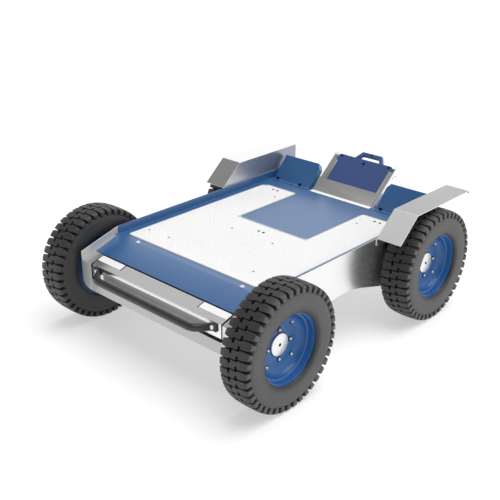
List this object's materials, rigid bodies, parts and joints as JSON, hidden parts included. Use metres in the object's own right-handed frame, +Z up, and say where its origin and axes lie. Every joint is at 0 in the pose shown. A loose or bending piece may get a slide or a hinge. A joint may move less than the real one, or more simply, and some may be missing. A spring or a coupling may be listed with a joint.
{
  "type": "four-wheel cargo robot platform",
  "caption": "Low outdoor transport robot: a flat anti-slip load deck on four driven pneumatic wheels, with rear wheel guards, a pull-out nose tray and a slide-out battery.",
  "frame": {"origin": "centre of the whole machine's box, on the ground under the tyres", "axes": "+X across the machine; +Y from the nose, where the pull bar is, to the tail, where the battery is; +Z up"},
  "size_m": [0.9658, 1.2634, 0.4442],
  "materials": {
    "tyre_rubber": "matt moulded rubber",
    "wheel_blue": "gloss powder coat",
    "cap_metal": "satin",
    "steel": "satin",
    "black_plastic": "fine grain",
    "black_paint": "semi-gloss powder coat",
    "blue_paint": "satin powder coat",
    "white_grip": "fine ribbed anti-slip",
    "battery_blue": "fine moulded grain",
    "silver_sheet": "brushed satin"
  },
  "bodies": {
    "chassis": {"bearing_block_front_left": "steel", "gear_motor_front_left": "black_plastic", "bearing_block_front_right": "steel", "gear_motor_front_right": "black_plastic", "bearing_block_rear_left": "steel", "gear_motor_rear_left": "black_plastic", "bearing_block_rear_right": "steel", "gear_motor_rear_right": "black_plastic", "left_side_plate": "silver_sheet", "right_side_plate": "silver_sheet", "front_frame": "silver_sheet", "rear_wall": "silver_sheet", "floor_pan": "steel", "front_cross_member": "steel", "rear_cross_member": "steel", "deck_tray": "blue_paint", "anti_slip_sheet": "white_grip", "left_fender": "silver_sheet", "right_fender": "silver_sheet", "control_box": "black_plastic", "front_motor_controller": "steel", "rear_motor_controller": "steel", "left_cover": "blue_paint", "right_cover": "blue_paint", "dock_face_plate": "steel", "battery_dock": "steel", "battery_socket": "black_plastic", "left_cheek_plate": "silver_sheet", "right_cheek_plate": "silver_sheet", "dock_tie_plate": "silver_sheet", "drawer_runner_left": "steel", "drawer_runner_right": "steel"},
    "wheel_front_left": {"tyre_front_left": "tyre_rubber", "rim_front_left": "wheel_blue", "rim_disc_front_left": "wheel_blue", "hub_cap_front_left": "cap_metal", "axle_front_left": "steel"},
    "wheel_front_right": {"tyre_front_right": "tyre_rubber", "rim_front_right": "wheel_blue", "rim_disc_front_right": "wheel_blue", "hub_cap_front_right": "cap_metal", "axle_front_right": "steel"},
    "wheel_rear_left": {"tyre_rear_left": "tyre_rubber", "rim_rear_left": "wheel_blue", "rim_disc_rear_left": "wheel_blue", "hub_cap_rear_left": "cap_metal", "axle_rear_left": "steel"},
    "wheel_rear_right": {"tyre_rear_right": "tyre_rubber", "rim_rear_right": "wheel_blue", "rim_disc_rear_right": "wheel_blue", "hub_cap_rear_right": "cap_metal", "axle_rear_right": "steel"},
    "drawer": {"drawer_front": "silver_sheet", "drawer_tray": "steel", "pull_bar": "black_paint", "pull_bar_bolt_left": "steel", "pull_bar_bolt_right": "steel"},
    "battery": {"battery_case": "battery_blue", "battery_cap": "battery_blue", "battery_handle": "battery_blue"}
  },
  "joints": [
    {"name": "front_left_wheel_spin", "type": "hinge", "parent": "chassis", "child": "wheel_front_left", "pos_m": [-0.4292, -0.43175, 0.2], "axis": [1, 0, 0], "continuous": true},
    {"name": "front_right_wheel_spin", "type": "hinge", "parent": "chassis", "child": "wheel_front_right", "pos_m": [0.4292, -0.43175, 0.2], "axis": [1, 0, 0], "continuous": true},
    {"name": "rear_left_wheel_spin", "type": "hinge", "parent": "chassis", "child": "wheel_rear_left", "pos_m": [-0.4292, 0.34025, 0.2], "axis": [1, 0, 0], "continuous": true},
    {"name": "rear_right_wheel_spin", "type": "hinge", "parent": "chassis", "child": "wheel_rear_right", "pos_m": [0.4292, 0.34025, 0.2], "axis": [1, 0, 0], "continuous": true},
    {"name": "drawer_slide", "type": "slide", "parent": "chassis", "child": "drawer", "axis": [0, -1, 0], "range_m": [0, 0.28]},
    {"name": "battery_slide", "type": "slide", "parent": "chassis", "child": "battery", "axis": [0, 0.7672, 0.6414], "range_m": [0, 0.235]}
  ]
}
